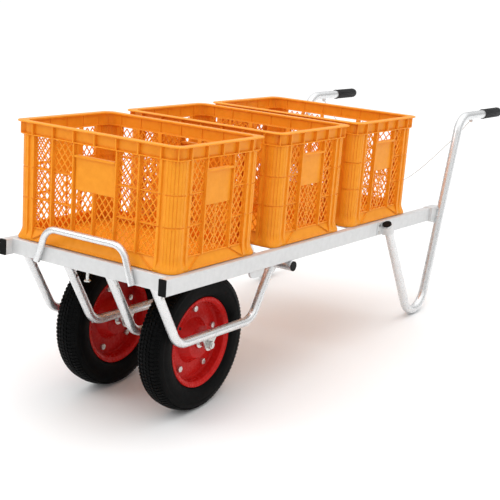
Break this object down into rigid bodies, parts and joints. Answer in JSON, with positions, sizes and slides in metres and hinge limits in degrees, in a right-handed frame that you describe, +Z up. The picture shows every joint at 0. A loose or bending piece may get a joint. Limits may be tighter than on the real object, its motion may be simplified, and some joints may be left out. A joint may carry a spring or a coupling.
{
  "type": "container cart",
  "caption": "Tube-framed field cart on pneumatic wheels, with bent handles that double as legs, a front hoop and open lattice-walled harvest crates standing on its bed.",
  "frame": {"origin": "on the floor, under the middle of the cart's length and width", "axes": "+X to the right seen from the front, +Y back from the wheels towards the handles, +Z up; left pieces are on -X and right pieces on +X"},
  "size_m": [0.624, 1.8592, 0.7732],
  "materials": {
    "aluminium": "satin",
    "zinc_steel": "satin",
    "black_plastic": "satin",
    "black_rubber": "matt",
    "tyre": "matt",
    "red_steel": "gloss",
    "orange_plastic": "satin",
    "white_cord": "matt"
  },
  "bodies": {
    "chassis": {"left_rail": "aluminium", "right_rail": "aluminium", "front_crossbar": "aluminium", "bed_crossbar_1": "aluminium", "bed_crossbar_2": "aluminium", "bed_crossbar_3": "aluminium", "bed_crossbar_4": "aluminium", "bed_crossbar_5": "aluminium", "rear_cross_tube": "aluminium", "left_rail_tab": "aluminium", "right_rail_tab": "aluminium", "left_outer_strut": "aluminium", "left_inner_strut": "aluminium", "right_inner_strut": "aluminium", "right_outer_strut": "aluminium", "left_outer_axle_bracket": "aluminium", "left_inner_axle_bracket": "aluminium", "right_outer_axle_bracket": "aluminium", "right_inner_axle_bracket": "aluminium", "front_hoop": "aluminium", "left_handle": "aluminium", "right_handle": "aluminium", "left_leg_saddle": "aluminium", "right_leg_saddle": "aluminium", "left_rail_fitting": "aluminium", "right_rail_fitting": "aluminium", "cord_lugs": "aluminium", "left_axle": "zinc_steel", "right_axle": "zinc_steel", "axle_nuts": "zinc_steel", "axle_spacers": "zinc_steel", "saddle_screws": "zinc_steel", "handle_bolts": "zinc_steel", "strut_rivets": "zinc_steel", "tie_pin": "zinc_steel", "rail_caps": "black_plastic", "cross_tube_caps": "black_plastic", "leg_plugs": "black_plastic", "left_grip": "black_rubber", "right_grip": "black_rubber", "tie_cord": "white_cord"},
    "left_wheel": {"left_tyre": "tyre", "left_inner_tube": "black_rubber", "left_outer_rim": "red_steel", "left_inner_rim": "red_steel", "left_hub": "zinc_steel", "left_bearings": "zinc_steel", "left_rim_bolts": "zinc_steel", "left_valve_stem": "black_rubber"},
    "right_wheel": {"right_tyre": "tyre", "right_inner_tube": "black_rubber", "right_outer_rim": "red_steel", "right_inner_rim": "red_steel", "right_hub": "zinc_steel", "right_bearings": "zinc_steel", "right_rim_bolts": "zinc_steel", "right_valve_stem": "black_rubber"},
    "front_crate": {"front_crate": "orange_plastic"},
    "middle_crate": {"middle_crate": "orange_plastic"},
    "rear_crate": {"rear_crate": "orange_plastic"}
  },
  "joints": [
    {"name": "left_wheel_spin", "type": "hinge", "parent": "chassis", "child": "left_wheel", "pos_m": [-0.143, -0.65088, 0.192], "axis": [1, 0, 0], "continuous": true},
    {"name": "right_wheel_spin", "type": "hinge", "parent": "chassis", "child": "right_wheel", "pos_m": [0.143, -0.65088, 0.192], "axis": [1, 0, 0], "continuous": true},
    {"name": "front_crate_lift", "type": "slide", "parent": "chassis", "child": "front_crate", "axis": [0, 0.0958, 0.9954], "range_m": [0, 0.35]},
    {"name": "middle_crate_lift", "type": "slide", "parent": "chassis", "child": "middle_crate", "axis": [0, 0.0958, 0.9954], "range_m": [0, 0.35]},
    {"name": "rear_crate_lift", "type": "slide", "parent": "chassis", "child": "rear_crate", "axis": [0, 0.0958, 0.9954], "range_m": [0, 0.35]}
  ]
}
